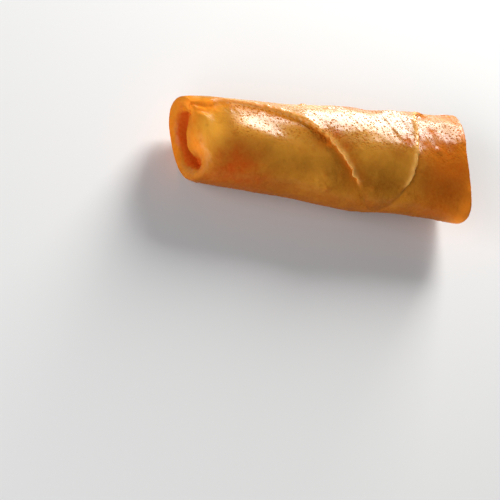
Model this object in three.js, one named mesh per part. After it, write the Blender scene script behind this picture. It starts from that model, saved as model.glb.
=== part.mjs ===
// A deep-fried spring roll: a square sheet of pastry rolled round a packet of filling and fried. It lies on its
// broad face. X runs along the roll from its left end to its right end, -Y is its front and +Z is up. The origin
// is at the middle of the underside. The roll is one closed solid, made as a loft: rings of points run from the
// middle of the left end, over its rim, along the body, over the right rim, to the middle of the right end.
// Angles round the roll are in degrees: 0 is the front side, 90 the top, 180 the back and 270 the underside.
import * as THREE from "three";

// Driving dimensions, in millimetres.
const LENGTH = 102; // between the planes of the two rims
const LAYER = 0.9; // step where the outermost layer of pastry ends
const PRESSED = 0.8; // how far the underside is pressed flat where the roll rests
const POINTS_ROUND = 54;
const RINGS_ALONG = 56;

// The cross-section at places along the roll, from the left rim (at 0) to the right rim (at 1). wide and high are
// half sizes, pinch above 0 makes the two sides sharp, and back and up place the middle.
const SECTIONS = [
  { at: 0.0, wide: 13.4, high: 10.2, pinch: 0.12, back: 0.6, up: 11.0 },
  { at: 0.12, wide: 13.9, high: 11.3, pinch: 0.0, back: 0.5, up: 11.4 },
  { at: 0.34, wide: 15.2, high: 12.0, pinch: -0.05, back: 0, up: 11.7 },
  { at: 0.58, wide: 18.0, high: 12.0, pinch: -0.05, back: -0.4, up: 11.7 },
  { at: 0.8, wide: 19.0, high: 11.2, pinch: 0.0, back: 0.3, up: 12.1 },
  { at: 1.0, wide: 21.0, high: 9.5, pinch: 0.2, back: 1.5, up: 12.6 },
];

// The free edge of the outermost layer, from rim to rim, and how thick it looks there. Its lowest point is the
// corner of the square sheet, which is stuck down.
const FLAP_EDGE = [
  { at: 0.0, angle: 124, step: 1.6 },
  { at: 0.065, angle: 120, step: 1.8 },
  { at: 0.11, angle: 136, step: 1.5 },
  { at: 0.18, angle: 134, step: 1.2 },
  { at: 0.34, angle: 112, step: 1.1 },
  { at: 0.44, angle: 88, step: 1 },
  { at: 0.515, angle: 57, step: 0.9 },
  { at: 0.57, angle: 25, step: 0.7 },
  { at: 0.61, angle: -2, step: 0.5 },
  { at: 0.64, angle: -14, step: 0.3 },
  { at: 0.67, angle: -4, step: 0.4 },
  { at: 0.705, angle: 27, step: 0.7 },
  { at: 0.735, angle: 60, step: 1 },
  { at: 0.762, angle: 90, step: 1.1 },
  { at: 0.797, angle: 130, step: 1.2 },
  { at: 0.85, angle: 160, step: 1.1 },
  { at: 1.0, angle: 184, step: 1 },
];
const EDGE_MEAN = 85;
const RIM_REACH = 0.3; // share of the length over which the body's rings take up the shape of a rim

// Long shallow dents (below 0) and ridges (above 0) pressed into the body, each with its place, its height, its
// half length along the roll, its half width round it, both in millimetres, and the angle at which it lies.
const DENTS = [
  { at: 0.26, angle: 97, height: -1.1, long: 18, wide: 3.6, turn: -20 }, // valley beside the flap's edge
  { at: 0.875, angle: 100, height: -0.8, long: 4, wide: 14, turn: 8 }, // neck before the flared end
  { at: 0.5, angle: 250, height: -0.7, long: 14, wide: 6, turn: 0 },
  { at: 0.3, angle: 205, height: -0.6, long: 9, wide: 5, turn: 15 },
  { at: 0.74, angle: 190, height: -0.7, long: 6, wide: 7, turn: -20 },
  { at: 0.62, angle: 150, height: 0.5, long: 9, wide: 6, turn: 10 },
];

// The ends. The mouth is the stretch of the rim that has a lip, and the pocket is where there is a hollow behind
// it. Elsewhere the end is a dome, and the tuck is where the dome comes forward to go in under the flap's corner.
// The nose is how far the middle of the end lies behind the rim's plane, and the waves are stretches of the rim
// that stick out (above 0) or are drawn in. Angles run on here past 360, up to the foot of the flap's edge.
const ALL_ROUND = null;
const LEFT_END = {
  side: -1, lip: 3.2, groove: 4.0, depth: 8.5, nose: 4.0, dome: 5.5, tilt: 0,
  slant: 4, setBack: 4, waves: [{ angle: 205, out: 0.8, wide: 35 }],
  mouth: [100, 110, 350, 415], pocket: [165, 215, 378, 412], tuck: [445, 484, 500, 520],
};
const RIGHT_END = {
  side: 1, lip: 2.4, groove: 2.2, depth: 6.5, nose: 5.5, dome: 5, tilt: 1.2,
  slant: 5, setBack: 0, waves: [{ angle: 18, out: 1.4, wide: 30 }, { angle: 92, out: -1.5, wide: 34 }],
  mouth: ALL_ROUND, pocket: ALL_ROUND, tuck: ALL_ROUND,
};
const LIP_RINGS = [0.1, 0.35, 0.7, 1.0, 1.3];
const FLOOR_RINGS = [0.06, 0.13, 0.2, 0.28, 0.37, 0.47, 0.58, 0.7, 0.84];

const LEFT_PLANE = -LENGTH / 2;
const TURN = 2 * Math.PI;
const radians = THREE.MathUtils.degToRad;
const degrees = THREE.MathUtils.radToDeg;
const mix = THREE.MathUtils.lerp;
const smooth = THREE.MathUtils.smoothstep;

// A smooth curve through the values of one field of a list of stations.
function along(stations, field, at) {
  let i = 1;
  while (i < stations.length - 1 && at > stations[i].at) i += 1;
  const [a, b] = [stations[i - 1], stations[i]];
  const before = stations[i - 2] ?? a;
  const after = stations[i + 1] ?? b;
  const span = b.at - a.at;
  const t = THREE.MathUtils.clamp((at - a.at) / span, 0, 1);
  const slopeA = ((b[field] - before[field]) / (b.at - before.at)) * span;
  const slopeB = ((after[field] - a[field]) / (after.at - a.at)) * span;
  const t2 = t * t;
  const t3 = t2 * t;
  return (
    (2 * t3 - 3 * t2 + 1) * a[field] +
    (t3 - 2 * t2 + t) * slopeA +
    (3 * t2 - 2 * t3) * b[field] +
    (t3 - t2) * slopeB
  );
}

// The turn from one angle to another, at most half a turn either way.
function angleBetween(from, to) {
  return THREE.MathUtils.euclideanModulo(to - from + Math.PI, TURN) - Math.PI;
}

// 1 between the two middle angles of a list of four, falling to 0 at the outer two; 1 everywhere without a list.
function window(angle, stretch) {
  if (stretch === ALL_ROUND) return 1;
  const [start, full, fade, stop] = stretch;
  return smooth(degrees(angle), start, full) * (1 - smooth(degrees(angle), fade, stop));
}

// How far behind the rim's plane the rim lies at an angle.
function rimDepth({ slant, setBack, waves, mouth }, angle) {
  const cut = slant * 0.5 * (1 + Math.cos(angle)) + setBack * (1 - window(angle, mouth));
  return waves.reduce((depth, w) => {
    const from = angleBetween(radians(w.angle), angle) / radians(w.wide);
    return depth - w.out * Math.exp(-from * from);
  }, cut);
}

// How far behind the rim's plane the end's surface lies, at an inset from the roll's side.
function endDepth(end, angle, inset) {
  const { lip, groove, depth, nose, dome } = end;
  const rim = rimDepth(end, angle);
  const offTop = Math.min(Math.abs((2 * inset) / lip - 1), 1);
  const lipRound = 0.4 * lip * (1 - Math.sqrt(1 - offTop * offTop));
  const into = smooth(inset, 0.9 * lip, 1.6 * lip);
  const out = smooth(inset, lip + 0.6 * groove, lip + 1.7 * groove);
  const floor = nose + end.tilt * Math.sin(angle);
  const fall = 1 - Math.min(inset / dome, 1);
  const domed = nose + dome * (1 - Math.sqrt(1 - fall * fall));
  const round = mix(domed, nose * (1 - 0.6 * fall), window(angle, end.tuck));
  const inside = mix(round, mix(depth, floor, out), window(angle, end.pocket));
  return mix(round, mix(rim + lipRound, inside, into), window(angle, end.mouth));
}

// The height of the dents and ridges at a place on the body.
function dentHeight(at, angle, radius) {
  return DENTS.reduce((sum, d) => {
    const x = (at - d.at) * LENGTH;
    const y = angleBetween(radians(d.angle), angle) * radius;
    const turn = radians(d.turn);
    const u = (x * Math.cos(turn) + y * Math.sin(turn)) / d.long;
    const v = (y * Math.cos(turn) - x * Math.sin(turn)) / d.wide;
    return sum + d.height * Math.exp(-u * u - v * v);
  }, 0);
}

// A point of the roll's side, at a share of the length of its column and a share of the way round.
function sidePoint(ring, share) {
  const rough = angleRound(ring, share);
  const leftPull = Math.max(1 - ring / RIM_REACH, 0) ** 2 * endDepth(LEFT_END, rough, 0);
  const rightPull = Math.max(1 - (1 - ring) / RIM_REACH, 0) ** 2 * endDepth(RIGHT_END, rough, 0);
  const at = ring + (leftPull - rightPull) / LENGTH;
  const angle = angleRound(at, share);
  const [wide, high, pinch, back, up] = ["wide", "high", "pinch", "back", "up"].map((field) =>
    along(SECTIONS, field, at),
  );
  const flat = new THREE.Vector2(
    -wide * Math.cos(angle),
    high * Math.sin(angle) * Math.abs(Math.sin(angle)) ** pinch,
  );
  const radius = flat.length();
  flat.setLength(radius + layerHeight(at, share) + dentHeight(at, angle, radius));
  return new THREE.Vector3(LEFT_PLANE + at * LENGTH, back + flat.x, up + flat.y);
}

// The angle of a ring's point, from its share of the way round from the flap's edge (0) to its foot (1).
function angleRound(at, share) {
  const edge = radians(along(FLAP_EDGE, "angle", at));
  const mean = radians(EDGE_MEAN);
  return mean + TURN * share + (edge - mean) * Math.abs(2 * share - 1);
}

const shares = Array.from({ length: POINTS_ROUND }, (_, j) => j / (POINTS_ROUND - 1));

// The layers of pastry make a spiral: the side stands higher at the flap's edge than at the edge's foot, where
// the layer below dips a little.
function layerHeight(at, share) {
  const step = LAYER * along(FLAP_EDGE, "step", at);
  return step * (1 - smooth(share, 0.2, 1)) - (share === 1 ? 0.35 * step : 0);
}

function bodyRing(ring) {
  return shares.map((share) => sidePoint(ring, share));
}

// Places along the roll for the body's rings: closer together where the flap's edge runs round the roll.
function ringPlaces() {
  const samples = 400;
  const reach = [0];
  for (let i = 1; i <= samples; i += 1) {
    const turned = along(FLAP_EDGE, "angle", i / samples) - along(FLAP_EDGE, "angle", (i - 1) / samples);
    reach.push(reach[i - 1] + Math.hypot(LENGTH / samples, 0.6 * radians(turned) * SECTIONS[0].wide));
  }
  const places = [];
  for (let i = 0, k = 0; i <= RINGS_ALONG; i += 1) {
    const goal = (reach[samples] * i) / RINGS_ALONG;
    while (k < samples - 1 && reach[k + 1] < goal) k += 1;
    places.push((k + (goal - reach[k]) / (reach[k + 1] - reach[k])) / samples);
  }
  return places;
}

// The rings of an end, from the last ring of the body over the lip and across to the middle of the end.
function endRings(end, rim) {
  const at = end.side < 0 ? 0 : 1;
  const plane = LEFT_PLANE + at * LENGTH;
  const middle = new THREE.Vector3(plane, along(SECTIONS, "back", at), along(SECTIONS, "up", at));
  const insetBy = (p, j, inset) => {
    const spoke = new THREE.Vector3(0, p.y - middle.y, p.z - middle.z);
    const moved = middle.clone().addScaledVector(spoke, 1 - inset / spoke.length());
    moved.x = plane - end.side * endDepth(end, angleRound(at, shares[j]), inset);
    return moved;
  };
  const start = LIP_RINGS.at(-1) * end.lip;
  const lipRings = LIP_RINGS.map((share) => rim.map((p, j) => insetBy(p, j, share * end.lip)));
  const floorRings = FLOOR_RINGS.map((share) =>
    rim.map((p, j) => insetBy(p, j, mix(start, Math.hypot(p.y - middle.y, p.z - middle.z), share))),
  );
  middle.x = plane - end.side * end.nose;
  return { rings: [...lipRings, ...floorRings], middle };
}

// Skins a list of rings and the two end points into one closed geometry. Each four-sided cell is split along
// its shorter diagonal.
function loft(first, rings, last) {
  const points = [first, ...rings.flat(), last];
  const n = rings[0].length;
  const index = [];
  const at = (i, j) => 1 + i * n + (j % n);
  for (let j = 0; j < n; j += 1) {
    index.push(0, at(0, j), at(0, j + 1));
    index.push(points.length - 1, at(rings.length - 1, j + 1), at(rings.length - 1, j));
    for (let i = 0; i < rings.length - 1; i += 1) {
      const [a, b, c, d] = [at(i, j), at(i + 1, j), at(i + 1, j + 1), at(i, j + 1)];
      if (points[a].distanceTo(points[c]) < points[b].distanceTo(points[d])) index.push(a, b, c, a, c, d);
      else index.push(a, b, d, b, c, d);
    }
  }
  const geometry = new THREE.BufferGeometry().setFromPoints(points);
  geometry.setIndex(index);
  return geometry;
}

const body = ringPlaces().map(bodyRing);
const left = endRings(LEFT_END, body[0]);
const right = endRings(RIGHT_END, body.at(-1));
const geometry = loft(left.middle, [...left.rings.reverse(), ...body, ...right.rings], right.middle);

// The roll is centred over the origin and lowered by how far it is pressed flat, and what would then lie below
// the table is pressed up to it.
geometry.computeBoundingBox();
const centre = geometry.boundingBox.getCenter(new THREE.Vector3());
geometry.translate(-centre.x, -centre.y, -geometry.boundingBox.min.z - PRESSED);
const position = geometry.getAttribute("position");
for (let i = 0; i < position.count; i += 1) position.setZ(i, Math.max(position.getZ(i), 0));
geometry.computeVertexNormals();

const pastry = new THREE.MeshStandardMaterial({ color: 0xc98a3a, roughness: 0.45, metalness: 0 });
const roll = new THREE.Mesh(geometry, pastry);
roll.name = "spring_roll";

const group = new THREE.Group();
group.add(roll);

export default group;
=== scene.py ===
# %% [markdown]
# # A deep-fried spring roll
# A square of thin wheat pastry is rolled round a filling from one corner to the other and fried until it is
# golden. This lesson takes the plain packed roll as a fixed frame, and gives it what frying does: a lifted
# corner edge, blisters, browned patches and a film of oil.

# %% Load the frame
from math import asin, cos, radians, sin

import bmesh
import bpy
import numpy as np
from mathutils import Matrix, Vector, bvhtree, kdtree, noise


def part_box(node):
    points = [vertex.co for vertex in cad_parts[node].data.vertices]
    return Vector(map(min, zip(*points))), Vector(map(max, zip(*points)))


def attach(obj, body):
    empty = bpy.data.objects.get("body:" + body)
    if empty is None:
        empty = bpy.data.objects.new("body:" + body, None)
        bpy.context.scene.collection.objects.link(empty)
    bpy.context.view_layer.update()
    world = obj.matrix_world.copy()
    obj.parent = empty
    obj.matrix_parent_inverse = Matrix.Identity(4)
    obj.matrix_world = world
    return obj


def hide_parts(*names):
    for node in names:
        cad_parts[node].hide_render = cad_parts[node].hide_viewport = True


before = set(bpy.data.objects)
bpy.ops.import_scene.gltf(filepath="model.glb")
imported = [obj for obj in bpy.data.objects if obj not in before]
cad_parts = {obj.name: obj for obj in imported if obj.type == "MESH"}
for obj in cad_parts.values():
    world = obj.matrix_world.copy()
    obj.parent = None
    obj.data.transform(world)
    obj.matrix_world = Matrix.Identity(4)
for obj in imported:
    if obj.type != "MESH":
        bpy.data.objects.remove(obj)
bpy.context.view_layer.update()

MM = 0.001
ROLL_LOW, ROLL_HIGH = (Vector(corner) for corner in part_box("spring_roll"))
print("roll, in mm:", [round(size / MM, 1) for size in ROLL_HIGH - ROLL_LOW])

# %% [markdown]
# ## Camera
# Food is shown from above and a little to one side, through a long lens, which keeps its proportions. The
# camera is rolled about its own axis too, so that the roll lies askew in the picture, as on a heap. The roll
# isn't in the middle of the picture: the eye moves sideways for that, and the camera keeps its direction.

# %% Camera
VIEW_AZIMUTH = radians(-38.7)  # from straight in front, towards the roll's left end
VIEW_HEIGHT = radians(52)
VIEW_ROLL = radians(37.3)
VIEW_DISTANCE = 451 * MM
LENS = 100
SENSOR = 36
AIM = Vector((0, -1.3, 12)) * MM
AIM_IN_PICTURE = (0.153, 0.191)  # how far right of the middle and above it, in picture widths


def direction(azimuth, height):
    """The way to a place seen at an azimuth from the front and a height above the horizon."""
    return Vector((sin(azimuth) * cos(height), -cos(azimuth) * cos(height), sin(height)))


backwards = direction(VIEW_AZIMUTH, VIEW_HEIGHT)
level = Vector((cos(VIEW_AZIMUTH), sin(VIEW_AZIMUTH), 0))
upright = backwards.cross(level)
across_view = level * cos(VIEW_ROLL) + upright * sin(VIEW_ROLL)
up_view = upright * cos(VIEW_ROLL) - level * sin(VIEW_ROLL)
picture_width = VIEW_DISTANCE * SENSOR / LENS
eye = AIM + backwards * VIEW_DISTANCE
eye -= (across_view * AIM_IN_PICTURE[0] + up_view * AIM_IN_PICTURE[1]) * picture_width

bpy.ops.object.camera_add()
camera = bpy.context.object
camera.name = "camera"
camera.matrix_world = Matrix((across_view, up_view, backwards)).transposed().to_4x4()
camera.location = eye
camera.data.lens = LENS
camera.data.sensor_width = SENSOR
bpy.context.scene.camera = camera
print("camera at, in mm:", [round(c / MM) for c in eye])

# %% [markdown]
# ## Floor and light
# A pale floor bounces light under the roll. A narrow soft box low behind it draws the oily highlight along
# its top. A wide box low on the left lights the front and the open left end, and a faint sky fills the shade.

# %% Floor
FLOOR_WIDTH = 4  # metres, so that its edge is far out of view
PALE_GREY = (0.82, 0.83, 0.85, 1)

bpy.ops.object.select_all(action="DESELECT")
bpy.ops.mesh.primitive_plane_add(size=FLOOR_WIDTH)
floor = bpy.context.object
floor.name = "floor"
floor_paint = bpy.data.materials.new("floor_paint")
floor_paint.use_nodes = True
floor_surface = floor_paint.node_tree.nodes["Principled BSDF"]
floor_surface.inputs["Base Color"].default_value = PALE_GREY
floor_surface.inputs["Roughness"].default_value = 0.7
floor.data.materials.append(floor_paint)
print("floor:", FLOOR_WIDTH, "m wide")

# %% Lights
def soft_box(name, azimuth, height, distance, width, depth, power, colour=(1, 1, 1)):
    """Adds an oblong area light that looks at the roll. Angles are in degrees and lengths in metres."""
    towards = direction(radians(azimuth), radians(height))
    bpy.ops.object.light_add(type="AREA", location=AIM + towards * distance)
    lamp = bpy.context.object
    lamp.name = name
    lamp.rotation_euler = towards.to_track_quat("Z", "Y").to_euler()
    lamp.data.shape = "RECTANGLE"
    lamp.data.size = width
    lamp.data.size_y = depth
    lamp.data.energy = power
    lamp.data.color = colour
    print(name, "is", distance, "m away,", power, "W")


WARM_WHITE = (1, 0.98, 0.93)
SKY_STRENGTH = 0.06
soft_box("key_behind", azimuth=150, height=20, distance=0.9, width=0.32, depth=0.6, power=16,
         colour=WARM_WHITE)
soft_box("left_front", azimuth=-62, height=22, distance=1.1, width=1.4, depth=0.8, power=13)
sky = bpy.data.worlds.new("sky")
sky.use_nodes = True
sky.node_tree.nodes["Background"].inputs["Color"].default_value = (1, 1, 1, 1)
sky.node_tree.nodes["Background"].inputs["Strength"].default_value = SKY_STRENGTH
bpy.context.scene.world = sky
bpy.context.scene.view_settings.view_transform = "Standard"

# %% [markdown]
# ## The pastry
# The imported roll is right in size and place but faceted. A copy of it is merged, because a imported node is
# loose triangles, and turned back into four-sided faces, which subdivide evenly.

# %% Copy and merge
bpy.ops.object.select_all(action="DESELECT")
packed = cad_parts["spring_roll"]
packed.select_set(True)
bpy.context.view_layer.objects.active = packed
bpy.ops.object.duplicate()
pastry = bpy.context.object
pastry.name = "fried_pastry"
bpy.ops.object.mode_set(mode="EDIT")
bpy.ops.mesh.select_all(action="SELECT")
bpy.ops.mesh.remove_doubles(threshold=0.002 * MM)
bpy.ops.mesh.tris_convert_to_quads(face_threshold=radians(60), shape_threshold=radians(70))
bpy.ops.mesh.customdata_custom_splitnormals_clear()
bpy.ops.object.mode_set(mode="OBJECT")
sides = [len(face.vertices) for face in pastry.data.polygons]
print("merged:", len(pastry.data.vertices), "points,", sides.count(4), "quads,", sides.count(3), "triangles")

# %% [markdown]
# ## The corner's edge
# The outer sheet ends in two edges that meet at its corner. They are the only long sharp line on the roll, so
# the line can be walked from one end of the roll to the other: from each edge to the sharp one that goes on
# most nearly straight. Its points and the way across it, down to the layer below, are kept for later.

# %% Walk the corner's edge
SHARP = radians(38)
VERY_SHARP = radians(60)
LEAST_STRAIGHT = 0.3  # cosine of the widest turn that the line may take from edge to edge
END_MARGIN = 0.7 * MM  # the line stops this far before the roll's ends


def sharp_neighbour(edge, point):
    """The sharp convex edge that goes on from an edge, past one of its two points."""
    onward = (point.co - edge.other_vert(point).co).normalized()
    best, best_straight = None, LEAST_STRAIGHT
    for other in point.link_edges:
        if other is edge or other.calc_face_angle_signed(0) < SHARP:
            continue
        straight = (other.other_vert(point).co - point.co).normalized().dot(onward)
        if straight > best_straight:
            best, best_straight = other, straight
    return best


def walk(edge, point):
    """The edges of the sharp line from an edge on, past one of its points."""
    line = []
    while edge and abs(point.co.x) < ROLL_HIGH.x - END_MARGIN:
        edge = sharp_neighbour(edge, point)
        if edge is None or edge in line:
            break
        line.append(edge)
        point = edge.other_vert(point)
    return line


AXIS_HEIGHT = (ROLL_LOW.z + ROLL_HIGH.z) / 2
STEP = 0.25 * MM  # between the points that are kept along the line
rough = bmesh.new()
rough.from_mesh(pastry.data)
sharp_edges = [edge for edge in rough.edges if edge.calc_face_angle_signed(0) > VERY_SHARP]
first = min(sharp_edges, key=lambda edge: abs(edge.verts[0].co.x))
corner_line = walk(first, first.verts[0])[::-1] + [first] + walk(first, first.verts[1])

edge_points, edge_across = [], []
for edge in corner_line:
    start, end = (point.co for point in edge.verts)
    outward = (start + end) / 2 - Vector(((start.x + end.x) / 2, 0, AXIS_HEIGHT))
    wall = min(edge.link_faces, key=lambda face: face.normal.dot(outward.normalized()))
    pieces = max(1, round(edge.calc_length() / STEP))
    for piece in range(pieces):
        edge_points.append(start.lerp(end, (piece + 0.5) / pieces))
        edge_across.append(wall.normal.copy())
rough.free()
print("corner line:", len(corner_line), "edges from x", round(min(p.x for p in edge_points) / MM, 1),
      "to", round(max(p.x for p in edge_points) / MM, 1), "mm")

# %% [markdown]
# ## Shaping by hand
# A few helpers stand in for sculpting brushes. They read an object's points as rows of numbers, move them and
# put them back, so the same mesh can be shaped by noise, by distance to a line, and by a smoothing modifier.

# %% Helpers for sculpting
def points_of(obj):
    """The points of an object's mesh, one row each."""
    flat = np.empty(3 * len(obj.data.vertices))
    obj.data.vertices.foreach_get("co", flat)
    return flat.reshape(-1, 3)


def normals_of(obj):
    """The way each point of an object's mesh faces, one row each."""
    flat = np.empty(3 * len(obj.data.vertices))
    obj.data.vertex_normals.foreach_get("vector", flat)
    return flat.reshape(-1, 3)


def set_points(obj, rows):
    """Puts the points of an object's mesh in their new places."""
    obj.data.vertices.foreach_set("co", rows.reshape(-1))
    obj.data.update()


def ramp(values, low, high):
    """0 below low, 1 above high and a smooth rise between them."""
    t = np.clip((values - low) / (high - low), 0, 1)
    return t * t * (3 - 2 * t)


def bump(values, width):
    """1 at 0, falling smoothly to nothing over a width on both sides."""
    return np.exp(-((values / width) ** 2))


def near(rows, place, width):
    """1 at a place, falling smoothly to nothing over a width on all sides, both given in mm."""
    return bump(np.linalg.norm(rows - np.array(place) * MM, axis=1), width * MM)


def between_x(rows, rise_from, rise_to, fall_from, fall_to):
    """1 between two places along the roll, in mm, with a soft rise and a soft fall."""
    rise = ramp(rows[:, 0], rise_from * MM, rise_to * MM)
    return rise * (1 - ramp(rows[:, 0], fall_from * MM, fall_to * MM))


def noise_at(rows, size, octaves, seed, stretch=(1, 1, 1)):
    """Smooth noise about 0 at each point, with lumps of a size that are stretched along X, Y and Z."""
    scaled = rows / (size * np.array(stretch)) + seed
    return np.array([noise.fractal(row, 0.9, 2.1, octaves) for row in scaled])


def smooth_where(obj, rows, weights, rounds):
    """Smooths an object's skin by a weight at each point, and returns its new points."""
    set_points(obj, rows)
    group = obj.vertex_groups.new(name="smoothed")
    for tenths in range(1, 11):
        members = np.flatnonzero(np.round(weights * 10) == tenths)
        group.add([int(i) for i in members], tenths / 10, "REPLACE")
    bpy.ops.object.modifier_add(type="SMOOTH")
    modifier = obj.modifiers[-1]
    modifier.factor = 0.5
    modifier.iterations = rounds
    modifier.vertex_group = group.name
    bpy.ops.object.modifier_apply(modifier=modifier.name)
    obj.vertex_groups.clear()
    print("smoothed", int((weights > 0.5).sum()), "of", len(rows), "points in", rounds, "rounds")
    return points_of(obj)


# %% [markdown]
# ## Finer faces
# Subdivision rounds a shape off, but it keeps the waves of uneven faces. So the skin between the sharp lines
# is smoothed first, and then the sharp lines are creased: the pastry's edge stays crisp and the rest turns
# round.

# %% Smooth between the sharp lines
KINK = radians(25)  # edges that bend more than this stay as they are
rough = bmesh.new()
rough.from_mesh(pastry.data)
even = np.ones(len(rough.verts))
for edge in rough.edges:
    if edge.calc_face_angle(0) > KINK:
        even[[point.index for point in edge.verts]] = 0
rough.free()
even *= ramp(points_of(pastry)[:, 2], 0.1 * MM, 1.5 * MM)
smooth_where(pastry, points_of(pastry), even, 6)

# %% Crease and subdivide
LEVELS = 2
bpy.ops.object.mode_set(mode="EDIT")
bpy.ops.mesh.select_all(action="DESELECT")
bpy.ops.mesh.select_mode(type="EDGE")
bpy.ops.mesh.edges_select_sharp(sharpness=SHARP)
bpy.ops.transform.edge_crease(value=0.7)
bpy.ops.object.mode_set(mode="OBJECT")
bpy.ops.object.modifier_add(type="SUBSURF")
pastry.modifiers[-1].levels = LEVELS
pastry.modifiers[-1].render_levels = LEVELS
bpy.ops.object.modifier_apply(modifier=pastry.modifiers[-1].name)
bpy.ops.object.shade_smooth()
print("subdivided:", len(pastry.data.polygons), "faces")

# %% Measure to the corner's edge
PAST_THE_EDGE = 0.02 * MM
line_tree = kdtree.KDTree(len(edge_points))
for i, point in enumerate(edge_points):
    line_tree.insert(point, i)
line_tree.balance()
rows = points_of(pastry)
nearest = np.array([line_tree.find(row)[1] for row in rows])
from_edge = rows - np.array(edge_points)[nearest]
across = np.array(edge_across)[nearest]
edge_distance = np.linalg.norm(from_edge, axis=1)
below = np.einsum("ij,ij->i", from_edge, across) > PAST_THE_EDGE  # on the layer below the outer sheet
print("points within 1 mm of the edge:", int((edge_distance < MM).sum()))

# %% [markdown]
# ## The left end
# Here an inner sheet bulges out past the mouth and the outer one is rolled round it as a thick rim, with a
# narrow pocket between. The plain model has a thin lip and a flat bulge. The inner side of the rim is swelled
# and the bulge drawn outwards. Where the bulge runs on into the front it is smoothed to one round form.

# %% Measure the left end
MOUTH_HEIGHT = 11 * MM
END_ZONE = 30 * MM  # each end begins this far from the middle
FAN = 6  # degrees: the lip is measured in narrow fans round the mouth


def behind_lip_of(rows, angles, end, side):
    """How far each point lies behind the lip of an end, which is the outermost point in each fan."""
    fans = (angles // FAN).astype(int)
    lip = np.array([(side * rows[end & (fans == i), 0]).max() for i in range(360 // FAN)])
    print("lip between", round(lip.min() / MM, 1), "and", round(lip.max() / MM, 1), "mm from the middle")
    return np.interp(angles, np.arange(0, 360, FAN) + FAN / 2, lip, period=360) - side * rows[:, 0]


# Angles round the mouth: 0 is the front, 90 the top and 180 the back.
round_mouth = np.degrees(np.arctan2(rows[:, 2] - MOUTH_HEIGHT, -rows[:, 1])) % 360
left = rows[:, 0] < -END_ZONE
behind_lip = behind_lip_of(rows, round_mouth, left, -1)
facing = normals_of(pastry)
towards_middle = np.stack([np.zeros(len(rows)), -rows[:, 1], MOUTH_HEIGHT - rows[:, 2]], axis=1)
towards_middle /= np.linalg.norm(towards_middle, axis=1, keepdims=True) + 1e-9
facing_middle = np.einsum("ij,ij->i", facing, towards_middle)
inside = left * ramp(facing_middle, 0.1, 0.6) * ramp(-rows[:, 0], 36 * MM, 40 * MM)


def between(angles, low, high, soft):
    """1 for angles between two others, in degrees, with a soft change at both."""
    middle, half = (low + high) / 2, (high - low) / 2
    away = np.abs((angles - middle + 180) % 360 - 180)
    return 1 - ramp(away, half - soft / 2, half + soft / 2)


# %% Swell the rim and draw out the bulge
RIM_SWELL = 1.3 * MM
BULGE_REACH = 3 * MM
rim_side = between(round_mouth, 118, 352, 25)
rolled = inside * rim_side * bump(behind_lip - 2.2 * MM, 2.4 * MM)
rows = rows + towards_middle * (rolled * RIM_SWELL)[:, None]
drawn = left * (1 - rim_side * bump(behind_lip, 3.5 * MM)) * near(rows, (-43.5, -3, 16), 7.5)
drawn *= ramp(-rows[:, 0], 39 * MM, 44 * MM)
rows[:, 0] -= drawn * BULGE_REACH
print("bulge: drawn out by up to", round(drawn.max() * BULGE_REACH / MM, 1), "mm")

# %% Smooth the mouth
front_side = between(round_mouth, -25, 104, 30) * ramp(-rows[:, 0], 38 * MM, 43 * MM)
behind_rim = left * ramp(-rows[:, 0], 38 * MM, 41 * MM) * ramp(behind_lip, 2 * MM, 5 * MM)
behind_rim = behind_rim * (facing[:, 0] < -0.2)
rows = smooth_where(pastry, rows, np.maximum(front_side, np.maximum(0.4 * inside, behind_rim)), 90)

# %% Slope the bulge down to the mouth
SLOPE_DROP = 1.5 * MM
slope = near(rows, (-44, 0.5, 20.5), 5.5) * ramp(behind_lip, 2.5 * MM, 5 * MM) * ramp(facing[:, 2], 0, 0.5)
rows[:, 2] -= slope * SLOPE_DROP
dome = near(rows, (-42.5, 1, 20), 6) * ramp(facing[:, 2], 0.1, 0.5) * ramp(behind_lip, 1 * MM, 3 * MM)
rows = smooth_where(pastry, rows, dome, 40)

# %% [markdown]
# ## The right end
# This end is open, with a recessed floor of tucked-in pastry. The plain model's floor has a straight seam and
# a pinched middle, so the floor is smoothed, and the soft folds come later with the other lines.

# %% Smooth the right end's floor
right = rows[:, 0] > END_ZONE
behind_right = behind_lip_of(rows, round_mouth, right, 1)
facing = normals_of(pastry)
inwards = np.maximum(facing[:, 0], np.einsum("ij,ij->i", facing, towards_middle))
recess = right * ramp(behind_right, 1.2 * MM, 2.6 * MM) * ramp(inwards, 0.1, 0.4)
rows = smooth_where(pastry, rows, recess * ramp(rows[:, 0], 40 * MM, 42 * MM), 120)

# %% [markdown]
# ## Soft unevenness
# The filling pushes the sheets out here and there, and frying leaves them gently wavy. Smooth noise moves the
# skin in and out: wide lumps and smaller ones. A few places are listed instead: two full spots under
# the corner, the front right corner that droops, the waist beside it and a dent behind the left swelling.
# Close to the table the roll stays flat, where it lies.

# %% Lumps of the filling
def swell(rows, facing, amount):
    """Moves the skin out by an amount at each point, and less and less towards the flat underside."""
    free = ramp(rows[:, 2], 0.2 * MM, 3 * MM)
    return rows + facing * (amount * free)[:, None]


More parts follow.
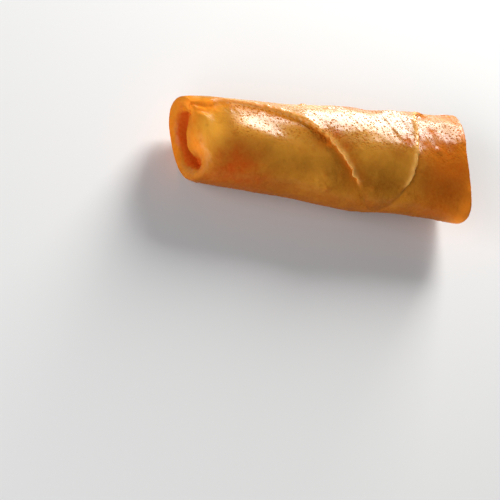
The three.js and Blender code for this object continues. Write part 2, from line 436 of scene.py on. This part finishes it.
WIDE_LUMPS = 0.42 * MM
SMALL_LUMPS = 0.13 * MM
SWELLINGS = (  # place, width and height in mm: two full spots, the drooping corner, the waist and the dent
    ((19, -4, 24), 6.5, 0.45), ((26, -7, 23), 6.5, 0.6), ((47, -20, 8), 9, 1.3), ((23, -20, 9), 8, -0.4),
    ((-17.5, 4, 22.5), 4.5, -0.42),
)
facing = normals_of(pastry)
wide = noise_at(rows, 17 * MM, octaves=2, seed=3.7, stretch=(1.4, 1, 1))
small = noise_at(rows, 5.5 * MM, octaves=2, seed=9.1, stretch=(1.3, 1, 1))
calm = 1 - 0.85 * ramp(-rows[:, 0], 9 * MM, 15 * MM) * ramp(facing[:, 2], 0.5, 0.9)  # smooth top left
rows = swell(rows, facing, WIDE_LUMPS * wide + SMALL_LUMPS * small * calm)
for place, width, height in SWELLINGS:
    rows = swell(rows, facing, height * MM * near(rows, place, width))
lumps = WIDE_LUMPS * wide / MM
print("lumps: from", round(lumps.min(), 2), "to", round(lumps.max(), 2), "mm")

# %% [markdown]
# ## The lifted, nibbled edge
# In hot oil the free edge of the sheet dries first: it curls up a little and breaks into an uneven line. Its
# points go out over the layer below by an uneven amount and up a little, and the layer below sinks beside
# it. The corner itself was pressed on with water, so there the sheet is thinned instead.

# %% Curl the edge
LIFT = 0.35 * MM
OVERHANG = 0.6 * MM
SINK = 0.22 * MM
THINNING = 0.5 * MM
radial = rows - np.stack([rows[:, 0], np.zeros(len(rows)), np.full(len(rows), AXIS_HEIGHT)], axis=1)
radial /= np.linalg.norm(radial, axis=1, keepdims=True)
tip = ramp(-rows[:, 1], 15 * MM, 17.5 * MM)
free_end = between_x(rows, -26, -8, 31, 36) * (1 - tip)
on_top = (~below) * bump(edge_distance, 1.2 * MM) * free_end
beside = below * bump(edge_distance - 0.8 * MM, 1.1 * MM) * (1 - tip)
nibble = noise_at(rows, 1.9 * MM, octaves=3, seed=3.1) + 0.6 * noise_at(rows, 6 * MM, octaves=2, seed=8.2)
curl = np.clip(0.6 + 0.9 * noise_at(rows, 9 * MM, octaves=2, seed=5.7), 0, 1.4)
rows = rows + across * (on_top * OVERHANG * (0.45 + 1.2 * nibble))[:, None]
rows = rows + radial * (on_top * LIFT * curl - beside * SINK)[:, None]
thinned = (~below) * tip * bump(edge_distance, 6 * MM)
rows = rows - radial * (thinned * THINNING)[:, None]
print("edge: lifted by up to", round((on_top * LIFT * curl).max() / MM, 2), "mm")

# %% [markdown]
# ## Where the edge melts away
# Towards the left end and at the corner's tip the sheet was pressed on wet, so its edge is no step but a
# soft slope. A Smooth modifier does what a smoothing brush would, with a vertex group that says where.

# %% Smooth a stretch of the edge
soft_stretch = bump(edge_distance, 3 * MM) * (1 - free_end) * between_x(rows, -50, -47, 45, 48)
rows = smooth_where(pastry, rows, soft_stretch, 150)

# %% [markdown]
# ## Creases and folds
# A few folds are too particular for noise, so each is drawn as a line on the skin, in mm, and pressed in or
# raised along it: the double fold at the top of the left end, the fine wrinkles of the corner, the nibs
# along the roll's back, and the tucked sheets inside the right end.

# %% Press in and raise lines
def line_distance(rows, line):
    """How far each point is from a line through places given in mm."""
    places = np.array(line) * MM
    nearest = np.full(len(rows), np.inf)
    for start, end in zip(places, places[1:]):
        along = end - start
        share = np.clip((rows - start) @ along / (along @ along), 0, 1)
        nearest = np.minimum(nearest, np.linalg.norm(rows - start - share[:, None] * along, axis=1))
    return nearest


FOLDS = (  # line, width and height in mm; a negative height is a groove
    # the double fold at the top of the left end
    (((-50.0, 9.0, 13.0), (-48.6, 5.6, 19.3), (-45.3, 5.6, 20.4)), 0.7, -0.4),
    (((-49.6, 8.6, 13.0), (-48.7, 5.8, 16.5), (-47.0, 3.0, 21.0), (-44.3, 2.9, 21.4)), 0.9, -0.35),
    (((-49.5, 7.6, 15.3), (-47.8, 4.4, 20.6), (-45.0, 4.3, 21.2), (-43.4, 5.0, 20.8)), 0.7, 0.6),
    (((-43.9, 6.2, 20.8), (-42.2, 7.2, 20.6)), 0.9, 0.7),
    # fine wrinkles of the corner
    (((17.6, 9.6, 21.6), (18.6, 4.4, 23.4), (20.2, 0.2, 24.1)), 1.1, -0.11),
    (((18.8, 9.0, 21.9), (20.0, 4.2, 23.6), (21.6, 0.6, 24.2)), 0.9, 0.1),
    (((15.0, 7.6, 22.4), (16.4, 3.4, 23.5), (17.4, -0.4, 24.0)), 0.9, -0.07),
    (((24.0, 8.5, 21.9), (25.2, 4.5, 23.4), (25.6, 1.0, 24.2)), 1.1, -0.1),
    # nibs along the back
    (((-10.6, 11.6, 20.0), (-9.4, 12.2, 19.6)), 0.8, 0.75),
    (((-1.5, 11.8, 20.3), (1.1, 12.4, 19.9), (3.5, 12.0, 20.2)), 1.3, 0.4),
    (((19.5, 13.2, 19.8), (22.6, 14.2, 19.0), (25.0, 13.8, 19.0)), 1.2, 0.45),
    (((34.2, 15.0, 17.4), (36.3, 16.6, 16.0)), 1.5, 0.8),
    # creases on the top, towards the right
    (((3.0, 9.5, 22.0), (5.5, 5.0, 23.3), (6.8, 2.0, 23.9)), 0.9, -0.12),
    (((30.5, 10.5, 21.0), (31.8, 5.0, 22.6), (34.0, -0.5, 23.0)), 1.0, -0.18),
    (((40.6, 14.0, 18.0), (40.8, 6.0, 21.0), (39.6, -3.0, 22.0)), 1.8, -0.25),
    # tucked sheets inside the right end
    (((47.0, -12.5, 12.5), (47.0, -6.0, 15.2), (47.0, 3.0, 15.0), (47.0, 11.0, 12.5)), 1.3, -0.6),
    (((47.0, -9.0, 8.5), (47.0, -2.0, 11.0), (47.0, 5.0, 10.5), (47.0, 12.0, 9.5)), 1.5, 0.6),
    (((47.0, -5.0, 6.0), (47.0, 1.5, 8.0), (47.0, 8.0, 8.0)), 1.2, -0.5),
)
for line, width, height in FOLDS:
    rows = rows + facing * (bump(line_distance(rows, line), width * MM) * height * MM)[:, None]
print("folds:", len(FOLDS))

# %% The torn flake
FLAKE = ((-5.6, -5.3, 23.2), (-4.9, -5.9, 23.2))
FLAKE_LIFT = 0.55 * MM
FLAKE_REACH = 0.9 * MM
flake = (~below) * bump(line_distance(rows, FLAKE), 0.9 * MM)
rows = rows + radial * (flake * FLAKE_LIFT)[:, None] + across * (flake * FLAKE_REACH)[:, None]
print("flake:", int((flake > 0.5).sum()), "points")

# %% [markdown]
# ## Diagonal wrinkles
# Where the outer sheet was pulled tight, it dried in long low wrinkles across its corner. Noise that is drawn
# out along one slanting direction gives them, in patches.

# %% Wrinkle the sheet
WRINKLES = 0.12 * MM


def drawn_out(rows, azimuth, length, width):
    """Places for noise whose lumps are long in one level direction and narrow across it."""
    along = rows[:, 0] * cos(azimuth) + rows[:, 1] * sin(azimuth)
    across_it = rows[:, 1] * cos(azimuth) - rows[:, 0] * sin(azimuth)
    return np.stack([along / length, across_it / width, rows[:, 2] / width], axis=1)


slanting_places = drawn_out(rows, azimuth=radians(-68), length=7 * MM, width=1.5 * MM)
slanting = noise_at(slanting_places, 1, octaves=2, seed=4.4)
patches = ramp(noise_at(rows, 11 * MM, octaves=2, seed=6.6), -0.15, 0.45)
rows = swell(rows, facing, WRINKLES * slanting * patches)
print("wrinkles on", int((patches > 0.5).sum()), "points")

# %% [markdown]
# ## Blisters
# Steam raises small bubbles in the pastry. They are scattered, of many sizes and strongest in patches.
# Voronoi cells give round spots: each cell's middle is raised into a low dome, some cells more than others.

# %% Raise the blisters
BLISTER = 0.22 * MM
GRIT = 0.12 * MM
GRAIN = 0.035 * MM


def domes(rows, size, seed):
    """Low round domes, 1 at their tops and 0 between them, some of them left out."""
    heights = []
    for row in rows / size + seed:
        distances, centres = noise.voronoi(row)
        strength = noise.cell(centres[0] * 37.0)
        reach = 0.35 + 0.3 * strength
        heights.append(max(0.0, 1 - (distances[0] / reach) ** 2) * max(0.0, 2.2 * strength - 0.9))
    return np.array(heights)


bubbles = domes(rows, 2.6 * MM, 2.3) * ramp(noise_at(rows, 13 * MM, octaves=2, seed=7.9), -0.2, 0.5)
grit = domes(rows, 1.3 * MM, 5.3) * ramp(noise_at(rows, 9 * MM, octaves=2, seed=1.9), -0.35, 0.35)
grain = noise_at(rows, 0.9 * MM, octaves=2, seed=2.8)
rows = swell(rows, facing, calm * (BLISTER * bubbles + GRIT * grit + GRAIN * grain))
rows[:, 2] = np.maximum(rows[:, 2], 0)
set_points(pastry, rows)
highest = (BLISTER * bubbles).max()
print("blisters: up to", round(highest / MM, 2), "mm high on", int((bubbles > 0.2).sum()), "points")

# %% [markdown]
# ## Where the pastry browned, and painted light and shade
# Colour and gloss follow the shape and the heat, and some colours are painted light and shade. A painted
# picture would need a flat layout of the whole skin. Instead each kind of browning and each painted light and
# shade is an attribute, one value a point, that the material reads.

# %% Helpers for painting
RAYS = 40
RAY_TURN = 137.5  # degrees from one ray to the next, which spreads them evenly
RAY_START = 0.15 * MM  # off the skin
GRAZING = 0.15  # rays flatter than this along the skin don't count


def paint(obj, name, *masks):
    """Stores the strongest of some masks at each point of an object's mesh, held between 0 and 1."""
    values = np.maximum.reduce(masks)
    attribute = obj.data.attributes.new(name, "FLOAT", "POINT")
    attribute.data.foreach_set("value", np.clip(values, 0, 1))
    print(name, "covers", int((values > 0.5).sum()), "points")


def patch(rows, spots):
    """1 in the middle of round spots, given as X, Y, Z and radius in mm and a strength, fading outwards."""
    return np.maximum.reduce([strength * near(rows, place, radius) for *place, radius, strength in spots])


def shelter_of(obj, rows, facing, chosen, reach):
    """How much of the view out from each chosen point the object itself blocks, within a reach."""
    skin_tree = bvhtree.BVHTree.FromPolygons([tuple(row) for row in rows],
                                             [tuple(face.vertices) for face in obj.data.polygons])
    rays = [direction(radians(RAY_TURN * i), asin(1 - 2 * (i + 0.5) / RAYS)) for i in range(RAYS)]
    blocked = np.zeros(len(rows))
    for i in np.flatnonzero(chosen):
        normal = Vector(facing[i])
        start = Vector(rows[i]) + normal * RAY_START
        open_rays = [ray for ray in rays if ray.dot(normal) > GRAZING]
        hits = sum(skin_tree.ray_cast(start, ray, reach)[0] is not None for ray in open_rays)
        blocked[i] = hits / max(1, len(open_rays))
    return blocked


# %% [markdown]
# ## Rims and sheltered places
# The rims go orange. Deep in the pocket and the recess shade is painted in, dark and red. Rays from each
# point near an end tell how much of the view out is blocked, so the rims and this painted shade follow the
# sculpted shape.

# %% Paint rims and sheltered places
facing = normals_of(pastry)
faces_end = (np.abs(facing[:, 0]) > 0.1) | (inside > 0.2) | (recess > 0.2)
near_end = (np.abs(rows[:, 0]) > 36 * MM) & faces_end
shelter = shelter_of(pastry, rows, facing, near_end, 14 * MM)
open_air = ramp(-shelter, -0.5, -0.15)
left_rim = ramp(-rows[:, 0], 45.5 * MM, 48.5 * MM) * open_air
right_rim = ramp(rows[:, 0], 42 * MM, 48.5 * MM) * open_air
# painted shade: the more sheltered a point is, the darker and redder it is painted
paint(pastry, "shelter", shelter * 1.3)
paint(pastry, "rim", left_rim, right_rim)

# %% [markdown]
# ## Colours along the corner's edge
# Oil gathers in the trench beside the lifted edge and glazes it orange, and that orange is partly painted
# glow, the light that the thin sheet lets through there. The fringe of the sheet is painted pale, a painted
# highlight where the edge catches the light. The strip above the left swelling and the top of the back get a
# painted highlight in cream, the grazing sheen of the light behind. Each is a band at its own distance from
# the edge, or on one side of it.

# %% Paint along the corner's edge
trench = below * bump(edge_distance - 1.2 * MM, 2.6 * MM)
melted = (1 - free_end) * (1 - tip) * bump(edge_distance, 1.5 * MM)
oily = 1 - 0.75 * ramp(rows[:, 0], -16 * MM, -6 * MM)
glazed = (~below) * bump(edge_distance, 1.7 * MM) * between_x(rows, -30, -24, -5, 0)
above_bulge = (~below) * bump(edge_distance - 1.6 * MM, 1.6 * MM) * between_x(rows, -42, -34, -14, -8)
# painted highlight: where the top of the back faces the light behind
sheen_top_back = bump(facing[:, 1] - 0.62, 0.22) * ramp(facing[:, 2], 0.3, 0.6)
sheen_top_back *= ramp(rows[:, 0], -32 * MM, -14 * MM)
# painted highlight: the pale fringe where the edge catches the light
paint(pastry, "edge", (~below) * bump(edge_distance, 0.95 * MM) * free_end)
# orange in the trench: partly oil, partly painted glow of light through the thin sheet
paint(pastry, "trench_oil_and_glow", oily * trench, oily * melted, glazed)
# painted highlight: a cream sheen on the top of the back and on the strip above the left swelling
paint(pastry, "painted_sheen", sheen_top_back, 0.85 * above_bulge)

# %% [markdown]
# ## Patches of heat
# Hot spots leave golden, brown, scorched and amber patches. Where the pastry is thinnest, light shining
# through it is painted in as a bright orange glow. Noise could scatter these patches, but their places make
# this roll what it is, so they are listed as round spots with soft borders. Only the back is toasted by
# noise.

# %% Paint golden and browned pastry, and painted shade below
GOLD_SPOTS = (
    (-46, -4, 18, 6, 1), (-43, -5, 20, 5, 1), (-30, -3, 22, 7, 0.6), (5, 2, 23.5, 12, 0.4),
    (-22, -9, 21.5, 8, 0.32), (-8, -12, 20, 7, 0.25), (15, -9, 22.5, 6, 0.3), (-5, 14, 19, 9, 0.6),
)
BROWNED_SPOTS = (
    (-36, -13, 16.5, 5.5, 1), (-40, -10.5, 18.5, 2.8, 0.8), (-40.5, -14.5, 12, 3.5, 0.8),
    (37, -12, 20, 11, 0.75), (40, 2, 22, 8, 0.6), (28, -20, 13, 9, 0.55), (8, -17, 10, 12, 0.5),
    (-15, -18, 8, 13, 0.55), (-32, -17, 7, 10, 0.7), (23.6, -1.7, 24.4, 1.6, 0.9), (35.4, 14.4, 18.2, 2, 1),
    (31, 3.5, 23, 2.2, 0.8), (-5.6, -2.7, 24.5, 1.6, 0.6), (20, -6, 23.5, 3, 0.4), (-20, 14, 16, 9, 0.6),
    (10, 18, 10, 10, 0.7), (36, 19, 8, 10, 0.8), (-42, 14, 8, 8, 0.8), (0, 4, 0, 16, 0.6),
    (30, 0, 0, 14, 0.8), (-32, 2, 0, 12, 0.7),
)
toast = ramp(noise_at(rows, 15 * MM, octaves=3, seed=11.3), -0.15, 0.5) * ramp(rows[:, 1], 8 * MM, 15 * MM)
lower_side_shade = ramp(-facing[:, 2], -0.75, -0.1)
back = ramp(rows[:, 1], 12 * MM, 17 * MM)
paint(pastry, "gold", patch(rows, GOLD_SPOTS))
# its share on the faces turned down is painted shade
paint(pastry, "browned", patch(rows, BROWNED_SPOTS), 0.75 * lower_side_shade, toast, 0.55 * back)
# painted shade: faces turned down are painted darker
paint(pastry, "underside", ramp(-facing[:, 2], -0.45, 0.3))

# %% Paint scorched and amber spots, and the painted glow of thin pastry
SCORCHED_SPOTS = (
    (-35, -13, 16.5, 8, 1), (-36, -10, 19.5, 4.5, 0.8), (-40, -9.8, 19, 2.4, 0.9), (-41, -14.2, 12.5, 4, 0.8),
    (-29, -15, 14, 6, 0.6), (44, -8, 21.5, 3, 0.4),
)
AMBER_SPOTS = (
    (-2.5, -2, 24.3, 2.6, 1), (0.5, -6, 23.5, 2.4, 1), (2.5, -10.5, 21.8, 2.4, 1), (5, -14, 19.8, 2.4, 0.8),
    (35.8, 15, 17.2, 3, 1), (35.3, 6.2, 21.8, 2.8, 1), (23.9, -1.2, 24.1, 2.6, 1), (-7, -4, 23.2, 3, 1),
    (31, -1, 23.1, 3, 1), (40, -3, 22.4, 5, 1), (48, 14, 18, 4, 0.8), (46, 20, 12, 6, 0.7),
)
# painted glow: where light shines through the thinnest pastry
GLOW_SPOTS = (
    (47, -18, 16, 4, 1), (46.5, -20.8, 11, 5, 1), (47.5, -14, 20, 2.4, 0.8), (46, -20, 6, 4, 0.7),
    (-43, 6.6, 20.9, 2.4, 1), (-5.2, -5.6, 23.2, 0.9, 0.8), (-48.5, 6.8, 19.4, 3, 0.8),
    (-46, 5, 20.6, 2.6, 1), (-46.8, -8, 16.5, 4, 0.5),
)
amber_end = ramp(rows[:, 0], 22 * MM, 36 * MM) * ramp(-rows[:, 1], -6 * MM, 2 * MM)
paint(pastry, "scorched", patch(rows, SCORCHED_SPOTS))
paint(pastry, "amber", amber_end, patch(rows, AMBER_SPOTS))
# painted glow, which the material shows as a bright orange
paint(pastry, "thin", patch(rows, GLOW_SPOTS))

# %% [markdown]
# ## Where the gloss breaks
# The film of oil is thin or missing on the left rim, in sheltered places, on the front and on a stretch
# beside the edge. On the top many small bubbles burst, which left it grainy. Masks of their own hold this,
# because gloss and colour don't change together.

# %% Paint matte, grainy and blistered skin
MATTE_SPOTS = (
    (-45, 0, 19, 7, 1), (-41, 2, 21, 4.5, 1), (-48, 4, 19, 4, 1), (-44, 6, 20, 5, 1.3), (-39, 8, 20, 4, 1),
    (46, -17, 15, 6, 0.6), (46, -2, 22, 6, 1.3), (41, -6, 22, 7, 1.3), (34, -6, 22.5, 5, 1.1),
    (39, -1.5, 22.5, 3, 1), (31, -0.5, 23, 2.5, 1), (23.9, -1.2, 24.1, 2.2, 1), (35.3, 6.2, 21.8, 2.4, 1),
    (35.8, 15.1, 17.2, 2.6, 1), (-7, -4, 23.5, 3, 0.9), (44, 10, 20, 8, 0.6), (36, 8, 21, 7, 0.4),
)
wiped = trench * between_x(rows, -19, -12, 6, 14)
front = ramp(-rows[:, 1], 4 * MM, 11 * MM)
grainy = ramp(rows[:, 1] + 3 * MM * noise_at(rows, 5 * MM, octaves=2, seed=12.7), -8 * MM, -2 * MM)
grainy *= ramp(facing[:, 2], 0.55, 0.85) * between_x(rows, -39, -35, 47, 49) * (1 - above_bulge)
paint(pastry, "matte", patch(rows, MATTE_SPOTS), 0.85 * left_rim, shelter * 1.3, wiped, 0.5 * front)
paint(pastry, "grainy", grainy, 0.7 * back)
paint(pastry, "blister", bubbles, 0.7 * grit)

# %% [markdown]
# ## Material: shared effects
# The crust's pattern is made of three effects, each a small node group with its own named values: soft
# blotches of colour, tiny pits where bubbles burst, and freckles. They read Object coordinates, so they keep
# their true size in metres.

# %% Helpers for nodes
VECTOR, FLOAT = "NodeSocketVector", "NodeSocketFloat"


def feed(tree, sockets, values):
    """Sets inputs, by name or number, to plain values, or links them to the sockets given instead."""
    for name, value in values.items():
        if isinstance(value, bpy.types.NodeSocket):
            tree.links.new(value, sockets[name])
        else:
            sockets[name].default_value = value


def put(tree, kind, values, **settings):
    """Adds a shader node with its settings and its inputs."""
    node = tree.nodes.new("ShaderNode" + kind)
    for name, value in settings.items():
        setattr(node, name, value)
    feed(tree, node.inputs, values)
    return node


def maths(tree, operation, first, second, third=0.0):
    """The output of a Math node on two or three values or sockets."""
    return put(tree, "Math", {0: first, 1: second, 2: third}, operation=operation).outputs[0]


def spread(tree, value, low, high, to_low=0.0, to_high=1.0):
    """A value's stretch from low to high, turned smoothly into another stretch."""
    values = {"Value": value, "From Min": low, "From Max": high, "To Min": to_low, "To Max": to_high}
    return put(tree, "MapRange", values, interpolation_type="SMOOTHSTEP").outputs["Result"]


def mixed(tree, factor, first, second):
    """Two colours mixed by a factor. A Mix node's inputs 0, 6 and 7 are the factor and the colours."""
    return put(tree, "Mix", {0: factor, 6: first, 7: second}, data_type="RGBA").outputs[2]


def new_group(name, inputs, output):
    """A shader node group with named inputs and one output, and its inner sockets for them."""
    group = bpy.data.node_groups.new(name, "ShaderNodeTree")
    for socket, kind, value in inputs:
        made = group.interface.new_socket(socket, in_out="INPUT", socket_type=kind)
        if value is not None:
            made.default_value = value
    group.interface.new_socket(output, in_out="OUTPUT", socket_type=FLOAT)
    return group, group.nodes.new("NodeGroupInput").outputs, group.nodes.new("NodeGroupOutput").inputs


def use(tree, group, values):
    """The output of a node group that is placed in a tree with its own values."""
    node = tree.nodes.new("ShaderNodeGroup")
    node.node_tree = group
    feed(tree, node.inputs, values)
    return node.outputs[0]


# %% Blotches
blotches, given, made = new_group(
    "blotches",
    [("Vector", VECTOR, None), ("Size", FLOAT, 0.01), ("Softness", FLOAT, 0.2), ("Seed", FLOAT, 0)],
    "Mask")
scale = maths(blotches, "DIVIDE", 1.0, given["Size"])
cloud = put(blotches, "TexNoise",
            {"Vector": given["Vector"], "W": given["Seed"], "Scale": scale, "Detail": 4, "Roughness": 0.55},
            noise_dimensions="4D")
low = maths(blotches, "SUBTRACT", 0.5, given["Softness"])
high = maths(blotches, "ADD", 0.5, given["Softness"])
feed(blotches, made, {"Mask": spread(blotches, cloud.outputs["Fac"], low, high)})
print("blotches:", len(blotches.nodes), "nodes")

# %% Pits
pits, given, made = new_group("pits", [("Vector", VECTOR, None), ("Size", FLOAT, 0.0005)], "Height")
scale = maths(pits, "DIVIDE", 1.0, given["Size"])
cells = put(pits, "TexVoronoi", {"Vector": given["Vector"], "Scale": scale})
hollow = spread(pits, cells.outputs["Distance"], 0.2, 0.45)
chance = put(pits, "SeparateColor", {"Color": cells.outputs["Color"]}).outputs["Red"]
depth = spread(pits, chance, 0.05, 0.6)
bottom = maths(pits, "MULTIPLY", maths(pits, "SUBTRACT", 1.0, hollow), depth)
feed(pits, made, {"Height": maths(pits, "SUBTRACT", 1.0, bottom)})
print("pits:", len(pits.nodes), "nodes")

# %% Freckles
freckles, given, made = new_group(
    "freckles", [("Vector", VECTOR, None), ("Size", FLOAT, 0.002), ("Share", FLOAT, 0.3)], "Mask")
scale = maths(freckles, "DIVIDE", 1.0, given["Size"])
cells = put(freckles, "TexVoronoi", {"Vector": given["Vector"], "Scale": scale})
spot = spread(freckles, cells.outputs["Distance"], 0.1, 0.38, 1.0, 0.0)
chance = put(freckles, "SeparateColor", {"Color": cells.outputs["Color"]}).outputs["Green"]
chosen = maths(freckles, "LESS_THAN", chance, given["Share"])
feed(freckles, made, {"Mask": maths(freckles, "MULTIPLY", spot, chosen)})
print("freckles:", len(freckles.nodes), "nodes")

# %% [markdown]
# ## Material: fried pastry
# The colour starts as olive pastry with golden blotches. Each painted attribute mixes in its own colour, one
# layer over the other, and finer blotches break up their borders so that no patch looks sprayed on.

# %% Palette
# Linear red, green, blue and alpha
OLIVE = (0.32, 0.108, 0.0075, 1)
GOLDEN = (1.0, 0.46, 0.052, 1)
PALE = (0.85, 0.38, 0.050, 1)
# a painted highlight, the grazing sheen in cream
SHEEN_CREAM = (0.74, 0.52, 0.28, 1)
# the trench's orange, partly painted glow
ORANGE = (0.72, 0.23, 0.018, 1)
RIM = (0.60, 0.160, 0.007, 1)
# a painted highlight on the edge's fringe
LIT_FRINGE = (0.95, 0.50, 0.130, 1)
# painted shade for the faces turned down
UNDERSIDE_SHADE = (0.35, 0.085, 0.006, 1)
BROWN = (0.40, 0.088, 0.006, 1)
# also the painted shade in sheltered places
RED_BROWN = (0.52, 0.070, 0.005, 1)
# a painted glow, for light shining through thin pastry
GLOWING = (1.0, 0.28, 0.02, 1)
AMBER = (0.50, 0.108, 0.006, 1)
DARK = (0.26, 0.07, 0.008, 1)
print("palette: olive pastry is", OLIVE[:3])

# %% Browned colour
crust = bpy.data.materials.new("fried_pastry")
crust.use_nodes = True
tree = crust.node_tree
skin = tree.nodes["Principled BSDF"]
place = put(tree, "TexCoord", {}).outputs["Object"]


def painted(name, strength=1.0):
    """The value of a painted attribute, times a strength."""
    return maths(tree, "MULTIPLY", put(tree, "Attribute", {}, attribute_name=name).outputs["Fac"], strength)


wide_blotches = use(tree, blotches, {"Vector": place, "Size": 14 * MM, "Softness": 0.16, "Seed": 1.0})
small_blotches = use(tree, blotches, {"Vector": place, "Size": 3.5 * MM, "Softness": 0.2, "Seed": 4.0})
fine_blotches = use(tree, blotches, {"Vector": place, "Size": 0.9 * MM, "Softness": 0.25, "Seed": 7.0})
broken = maths(tree, "MULTIPLY_ADD", small_blotches, 0.6, 0.5)
steady = maths(tree, "MULTIPLY_ADD", small_blotches, 0.25, 0.75)
dots = use(tree, freckles, {"Vector": place, "Size": 2.4 * MM, "Share": 0.12})

LAYERS = (  # how much of each colour, from the lowest layer up
    (maths(tree, "MULTIPLY", wide_blotches, 0.4), GOLDEN),
    (painted("gold", steady), GOLDEN),
    # painted highlight: the cream sheen
    (painted("painted_sheen", steady), SHEEN_CREAM),
    (painted("browned", broken), BROWN),
    (painted("amber", steady), AMBER),
    # painted shade on the faces turned down
    (painted("underside", 0.85), UNDERSIDE_SHADE),
    # the trench's orange: oil and painted glow
    (painted("trench_oil_and_glow", 0.85), ORANGE),
    (painted("rim", broken), RIM),
    (painted("scorched", broken), RED_BROWN),
    # painted shade in the pocket and the recess
    (spread(tree, painted("shelter"), 0.2, 0.6), RED_BROWN),
    # painted glow of light shining through thin pastry
    (painted("thin"), GLOWING),
    # painted highlight along the corner's edge
    (painted("edge", broken), LIT_FRINGE),
    (painted("blister", 0.35), BROWN),
    (maths(tree, "MULTIPLY", fine_blotches, 0.14), PALE),
    (maths(tree, "MULTIPLY", dots, 0.2), DARK),
)
colour = OLIVE
for amount, tint in LAYERS:
    colour = mixed(tree, amount, colour, tint)
print("colour:", len(LAYERS), "layers over olive")

# %% [markdown]
# ## The film of oil
# Low roughness all over would look like glazed clay, because fried pastry shines only where oil covers it. So
# the film is a coat over a dull skin. Where a bubble burst the skin is dry and browner, and tiny pits in the
# coat break the highlight into specks. They and a fine grain are too small for the mesh, so they are bump.
# Thin pastry also lets light a little way in, which softens its shading.

# %% Oil film and pits
FILM = 0.66  # the coat's weight where the film of oil is whole
wide_pits = use(tree, pits, {"Vector": place, "Size": 1.15 * MM})
close_pits = use(tree, pits, {"Vector": place, "Size": 0.8 * MM})
wet = maths(tree, "MULTIPLY", wide_pits, close_pits)
dry = maths(tree, "MULTIPLY", maths(tree, "SUBTRACT", 1.0, wet), painted("grainy"))
film = maths(tree, "MULTIPLY_ADD", painted("matte"), -FILM, FILM)
feed(tree, skin.inputs, {
    "Base Color": mixed(tree, maths(tree, "MULTIPLY", dry, 0.5), colour, BROWN),
    "Roughness": spread(tree, small_blotches, 0, 1, 0.42, 0.5),
    "Specular IOR Level": 0.0,
    "Coat Weight": maths(tree, "MULTIPLY", film, wet),
    "Coat Roughness": 0.24,
    "Coat IOR": 1.42,
    "Subsurface Weight": 0.3,
    "Subsurface Radius": (1.0, 0.4, 0.12),
    "Subsurface Scale": 0.9 * MM,
})
print("oil film: coat of up to", FILM)

# %% Relief of the skin
RELIEF = 0.11 * MM
GRAIN_SIZE = 0.55 * MM
noise_inputs = {"Vector": place, "Scale": 1 / GRAIN_SIZE, "Detail": 1.5, "Roughness": 0.5}
rough_skin = put(tree, "TexNoise", noise_inputs).outputs["Fac"]
grain_height = maths(tree, "MULTIPLY_ADD", wet, 0.9, maths(tree, "MULTIPLY", rough_skin, 1.2))
grain_share = maths(tree, "MULTIPLY_ADD", painted("grainy"), 0.75, 0.25)  # a quarter of it outside the grain
height = maths(tree, "MULTIPLY", grain_height, grain_share)
relief = put(tree, "Bump", {"Height": height, "Strength": 1.0, "Distance": RELIEF})
feed(tree, skin.inputs, {"Normal": relief.outputs["Normal"]})
print("relief:", round(RELIEF / MM, 2), "mm deep")

# %% Put it on
bpy.ops.object.select_all(action="DESELECT")
pastry.select_set(True)
bpy.context.view_layer.objects.active = pastry
pastry.data.materials.clear()
pastry.data.materials.append(crust)
print("material:", len(tree.nodes), "nodes")

# %% Hand over
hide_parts("spring_roll")
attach(pastry, "root")
